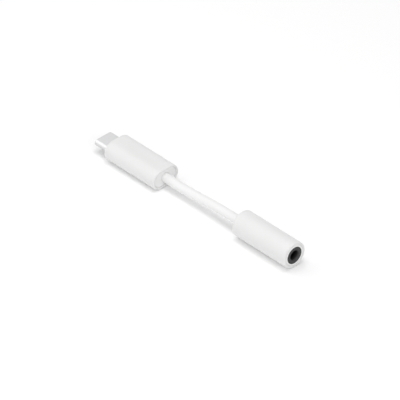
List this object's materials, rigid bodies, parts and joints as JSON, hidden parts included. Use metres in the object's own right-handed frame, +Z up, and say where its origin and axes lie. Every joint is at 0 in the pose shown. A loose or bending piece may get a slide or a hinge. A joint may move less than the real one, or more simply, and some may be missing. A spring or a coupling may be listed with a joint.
{
  "type": "wired audio adapter",
  "caption": "Short wired audio adapter: flat white housing with a small metal data plug, a round cord, and a round white housing with a 3.5 mm headphone socket.",
  "frame": {"origin": "on the table, under the middle of the adapter's length and width", "axes": "+X from the plug's tip towards the headphone socket, +Y across, +Z up"},
  "size_m": [0.0964, 0.012, 0.01],
  "materials": {
    "white_housing": "moulded polycarbonate, fine satin",
    "white_cap": "moulded polycarbonate, matt",
    "plug_steel": "drawn stainless steel, fine satin",
    "spring_steel": "stamped stainless strip",
    "black_insulator": "moulded glass-filled resin",
    "black_socket": "moulded nylon, matt",
    "gold_contact": "gold flash on phosphor bronze",
    "tinned_can": "tinned steel sheet",
    "circuit_laminate": "glass-fibre laminate, solder mask",
    "chip_resin": "moulded epoxy",
    "capacitor_ceramic": "fired ceramic with tinned ends",
    "resistor_ceramic": "glazed ceramic with tinned ends",
    "solder": "reflowed solder",
    "crimp_metal": "nickel on brass",
    "cord_white": "extruded thermoplastic elastomer, satin",
    "wire_green": "extruded insulation",
    "wire_red": "extruded insulation",
    "wire_blue": "extruded insulation",
    "wire_copper": "lacquered copper strand",
    "inner_ivory": "low-pressure moulded polyamide"
  },
  "bodies": {
    "plug_end": {"plug_housing": "white_housing", "end_cap": "white_cap", "plug_shell": "plug_steel", "plug_insulator": "black_insulator", "contact_block": "black_insulator", "contact_tails": "gold_contact", "ground_spring_upper": "spring_steel", "ground_spring_lower": "spring_steel", "shield_upper": "tinned_can", "shield_lower": "tinned_can", "circuit_board": "circuit_laminate", "audio_chip": "chip_resin", "regulator": "chip_resin", "chip_capacitors": "capacitor_ceramic", "chip_resistors": "resistor_ceramic", "solder_joints": "solder", "plug_crimp": "crimp_metal", "cord_jacket": "cord_white", "wire_left": "wire_green", "wire_right": "wire_red", "wire_microphone": "wire_blue", "wire_ground": "wire_copper"},
    "jack_end": {"jack_housing": "white_housing", "end_ring": "white_cap", "socket_body": "black_socket", "socket_cover": "black_socket", "inner_mould": "inner_ivory", "jack_crimp": "crimp_metal"},
    "upper_contacts": {"contacts_upper": "gold_contact"},
    "lower_contacts": {"contacts_lower": "gold_contact"},
    "left_latch": {"latch_left": "spring_steel"},
    "right_latch": {"latch_right": "spring_steel"},
    "tip_contact": {"tip_spring": "gold_contact"},
    "ring_contact_1": {"ring_spring_1": "gold_contact"},
    "ring_contact_2": {"ring_spring_2": "gold_contact"},
    "sleeve_contact": {"sleeve_spring": "gold_contact"}
  },
  "joints": [
    {"name": "cord_bend", "type": "hinge", "parent": "plug_end", "child": "jack_end", "pos_m": [0.0028, 0, 0.0045], "axis": [0, 0, 1], "range_deg": [-90, 90], "stiffness_Nm_per_rad": 0.004, "deforming": ["cord_jacket", "wire_left", "wire_right", "wire_microphone", "wire_ground"]},
    {"name": "upper_contacts_flex", "type": "hinge", "parent": "plug_end", "child": "upper_contacts", "pos_m": [-0.0428, 0, 0.00446], "axis": [0, 1, 0], "range_deg": [0, 2.5], "stiffness_Nm_per_rad": 0.39},
    {"name": "lower_contacts_flex", "type": "hinge", "parent": "plug_end", "child": "lower_contacts", "pos_m": [-0.0428, 0, 0.00334], "axis": [0, -1, 0], "range_deg": [0, 2.5], "stiffness_Nm_per_rad": 0.39},
    {"name": "left_latch_flex", "type": "hinge", "parent": "plug_end", "child": "left_latch", "pos_m": [-0.041, 0.0037, 0.0039], "axis": [0, 0, -1], "range_deg": [0, 2.3], "stiffness_Nm_per_rad": 0.32},
    {"name": "right_latch_flex", "type": "hinge", "parent": "plug_end", "child": "right_latch", "pos_m": [-0.041, -0.0037, 0.0039], "axis": [0, 0, 1], "range_deg": [0, 2.3], "stiffness_Nm_per_rad": 0.32},
    {"name": "tip_flex", "type": "hinge", "parent": "jack_end", "child": "tip_contact", "pos_m": [0.0323, 0.00173, 0.00676], "axis": [0, -0.7071, 0.7071], "range_deg": [0, 5.2], "stiffness_Nm_per_rad": 0.08},
    {"name": "ring_1_flex", "type": "hinge", "parent": "jack_end", "child": "ring_contact_1", "pos_m": [0.0323, -0.00173, 0.00329], "axis": [0, 0.7071, -0.7071], "range_deg": [0, 3], "stiffness_Nm_per_rad": 0.22},
    {"name": "ring_2_flex", "type": "hinge", "parent": "jack_end", "child": "ring_contact_2", "pos_m": [0.0323, 0.00173, 0.00329], "axis": [0, 0.7071, 0.7071], "range_deg": [0, 2.2], "stiffness_Nm_per_rad": 0.43},
    {"name": "sleeve_flex", "type": "hinge", "parent": "jack_end", "child": "sleeve_contact", "pos_m": [0.0323, -0.00173, 0.00676], "axis": [0, -0.7071, -0.7071], "range_deg": [0, 1.8], "stiffness_Nm_per_rad": 0.63}
  ]
}
